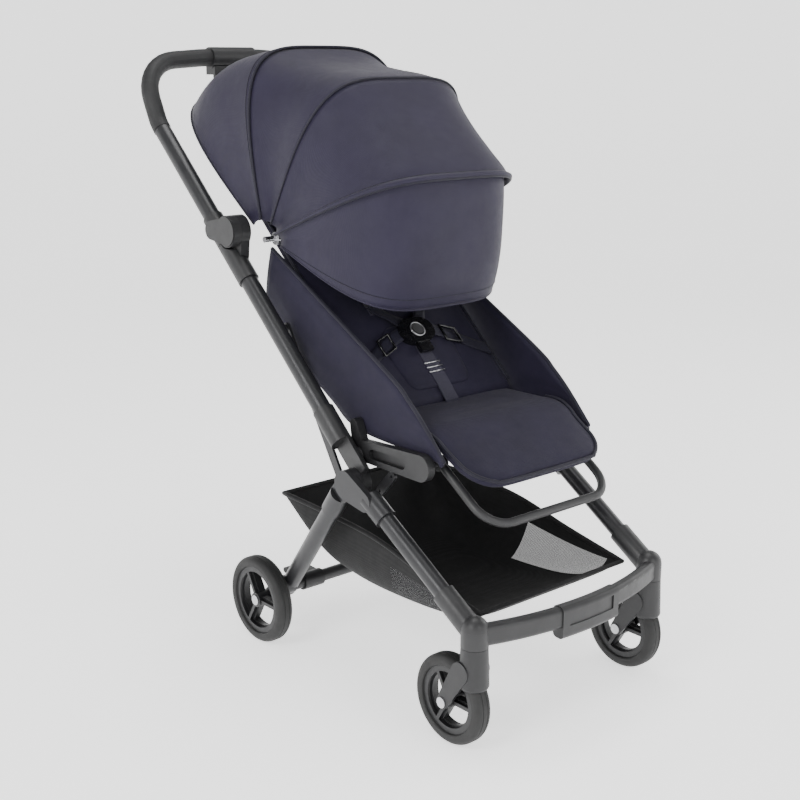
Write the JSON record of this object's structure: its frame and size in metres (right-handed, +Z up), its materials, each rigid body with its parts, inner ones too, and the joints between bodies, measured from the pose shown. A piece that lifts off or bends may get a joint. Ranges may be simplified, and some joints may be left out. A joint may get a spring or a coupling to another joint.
{
  "type": "baby stroller",
  "caption": "Compact folding pushchair with a reclining padded seat, a folding canopy, swivelling front wheels, a pivoting leg rest and an under-seat basket.",
  "frame": {"origin": "on the floor, under the middle of the whole stroller", "axes": "+X to the left side of the stroller, -Y to its front, +Z up"},
  "size_m": [0.451, 0.9642, 1.0265],
  "materials": {
    "frame_tube": "satin graphite powder coat",
    "frame_moulding": "fine-grained satin moulding",
    "black_moulding": "fine-grained matte moulding",
    "steel": "brushed",
    "navy_fabric": "fine plain weave, faint sheen",
    "canopy_fabric": "fine twill weave",
    "canopy_bow": "piped hem over a bow",
    "webbing": "ribbed webbing",
    "basket_fabric": "black weave with mesh windows",
    "seat_board": "satin",
    "grip_foam": "soft, slightly grained",
    "buckle_plastic": "half gloss",
    "grey_button": "satin grey",
    "wheel_rim": "satin moulding",
    "tyre": "matte rubber"
  },
  "bodies": {
    "seat_frame": {"side_tube_right": "frame_tube", "side_tube_left": "frame_tube", "leg_joint_right": "frame_moulding", "leg_joint_left": "frame_moulding", "fold_housing_right": "frame_moulding", "fold_housing_left": "frame_moulding", "seat_bracket_right": "black_moulding", "seat_bracket_left": "black_moulding", "bracket_links": "black_moulding", "fold_struts": "black_moulding", "pivot_pins": "steel", "seat_pad": "navy_fabric", "seat_sides": "navy_fabric", "crotch_strap": "webbing", "back_hinge_rod": "steel", "canopy_rear_panel": "canopy_fabric", "canopy_rear_bow": "canopy_bow", "canopy_clips": "steel", "basket": "basket_fabric"},
    "backrest": {"backrest_pad": "navy_fabric", "backrest_board": "seat_board", "harness_straps": "webbing", "strap_adjusters": "buckle_plastic", "buckle": "buckle_plastic"},
    "buckle_button": {"buckle_button": "grey_button"},
    "handle": {"handle_tube": "frame_tube", "handle_grip": "grip_foam", "hinge_caps": "frame_moulding", "fold_control": "black_moulding", "carry_strap": "webbing"},
    "fold_slider": {"fold_slider": "grey_button"},
    "fold_button": {"fold_button": "grey_button"},
    "canopy_middle": {"canopy_middle_panel": "canopy_fabric", "canopy_middle_bow": "canopy_bow"},
    "canopy_front": {"canopy_front_panel": "canopy_fabric", "canopy_front_bow": "canopy_bow"},
    "canopy_visor": {"canopy_visor": "canopy_fabric"},
    "front_legs": {"front_leg_right": "frame_tube", "front_leg_left": "frame_tube", "front_crosspiece": "black_moulding"},
    "caster_right": {"caster_fork_right": "black_moulding", "front_axle_right": "steel"},
    "caster_left": {"caster_fork_left": "black_moulding", "front_axle_left": "steel"},
    "front_wheel_right": {"front_rim_right": "wheel_rim", "front_tyre_right": "tyre"},
    "front_wheel_left": {"front_rim_left": "wheel_rim", "front_tyre_left": "tyre"},
    "rear_legs": {"rear_leg_right": "frame_tube", "rear_leg_left": "frame_tube", "rear_axle_beam": "black_moulding", "rear_axles": "steel"},
    "rear_wheel_right": {"rear_rim_right": "wheel_rim", "rear_tyre_right": "tyre"},
    "rear_wheel_left": {"rear_rim_left": "wheel_rim", "rear_tyre_left": "tyre"},
    "brake_pedal": {"brake_pedal": "black_moulding"},
    "leg_rest": {"leg_rest_tube": "black_moulding", "leg_rest_panel": "navy_fabric"}
  },
  "joints": [
    {"name": "handle_fold", "type": "hinge", "parent": "seat_frame", "child": "handle", "pos_m": [0, 0.16501, 0.72276], "axis": [1, 0, 0], "range_deg": [0, 135], "deforming": ["carry_strap"]},
    {"name": "front_leg_fold", "type": "hinge", "parent": "seat_frame", "child": "front_legs", "pos_m": [0, -0.15113, 0.354], "axis": [1, 0, 0], "range_deg": [-60, 0]},
    {"name": "rear_leg_fold", "type": "hinge", "parent": "seat_frame", "child": "rear_legs", "pos_m": [0, -0.15113, 0.354], "axis": [1, 0, 0], "range_deg": [0, 48]},
    {"name": "backrest_recline", "type": "hinge", "parent": "seat_frame", "child": "backrest", "pos_m": [0, -0.12712, 0.442], "axis": [1, 0, 0], "range_deg": [0, 16], "deforming": ["crotch_strap"]},
    {"name": "canopy_middle_fold", "type": "hinge", "parent": "seat_frame", "child": "canopy_middle", "pos_m": [0, 0.10787, 0.712], "axis": [1, 0, 0], "range_deg": [-34, 0]},
    {"name": "canopy_front_fold", "type": "hinge", "parent": "canopy_middle", "child": "canopy_front", "pos_m": [0, 0.10787, 0.712], "axis": [1, 0, 0], "range_deg": [-34, 0]},
    {"name": "visor_fold", "type": "hinge", "parent": "canopy_front", "child": "canopy_visor", "pos_m": [0, 0.10787, 0.712], "axis": [1, 0, 0], "range_deg": [-36, 0]},
    {"name": "leg_rest_drop", "type": "hinge", "parent": "seat_frame", "child": "leg_rest", "pos_m": [0, -0.28413, 0.405], "axis": [1, 0, 0], "range_deg": [0, 50]},
    {"name": "caster_swivel_right", "type": "hinge", "parent": "front_legs", "child": "caster_right", "pos_m": [-0.2, -0.42812, 0.171], "axis": [0, 0, 1], "continuous": true},
    {"name": "front_wheel_spin_right", "type": "hinge", "parent": "caster_right", "child": "front_wheel_right", "pos_m": [-0.2, -0.38312, 0.071], "axis": [1, 0, 0], "continuous": true},
    {"name": "rear_wheel_spin_right", "type": "hinge", "parent": "rear_legs", "child": "rear_wheel_right", "pos_m": [-0.21, 0.10287, 0.0775], "axis": [1, 0, 0], "continuous": true},
    {"name": "caster_swivel_left", "type": "hinge", "parent": "front_legs", "child": "caster_left", "pos_m": [0.2, -0.42812, 0.171], "axis": [0, 0, 1], "continuous": true},
    {"name": "front_wheel_spin_left", "type": "hinge", "parent": "caster_left", "child": "front_wheel_left", "pos_m": [0.2, -0.38312, 0.071], "axis": [1, 0, 0], "continuous": true},
    {"name": "rear_wheel_spin_left", "type": "hinge", "parent": "rear_legs", "child": "rear_wheel_left", "pos_m": [0.21, 0.10287, 0.0775], "axis": [1, 0, 0], "continuous": true},
    {"name": "brake_press", "type": "hinge", "parent": "rear_legs", "child": "brake_pedal", "pos_m": [0, 0.06989, 0.10179], "axis": [1, 0, 0], "range_deg": [-18, 0]},
    {"name": "buckle_press", "type": "slide", "parent": "backrest", "child": "buckle_button", "axis": [0, 0.6884, -0.7254], "range_m": [0, 0.003], "stiffness_N_per_m": 900},
    {"name": "slider_slide", "type": "slide", "parent": "handle", "child": "fold_slider", "axis": [1, 0, 0], "range_m": [0, 0.012], "stiffness_N_per_m": 300},
    {"name": "button_press", "type": "slide", "parent": "handle", "child": "fold_button", "axis": [0, -1, 0], "range_m": [0, 0.004], "stiffness_N_per_m": 900}
  ],
  "couplings": [
    {"joint": "front_leg_fold", "follows": "handle_fold", "ratio": -0.44444},
    {"joint": "rear_leg_fold", "follows": "handle_fold", "ratio": 0.35556}
  ]
}
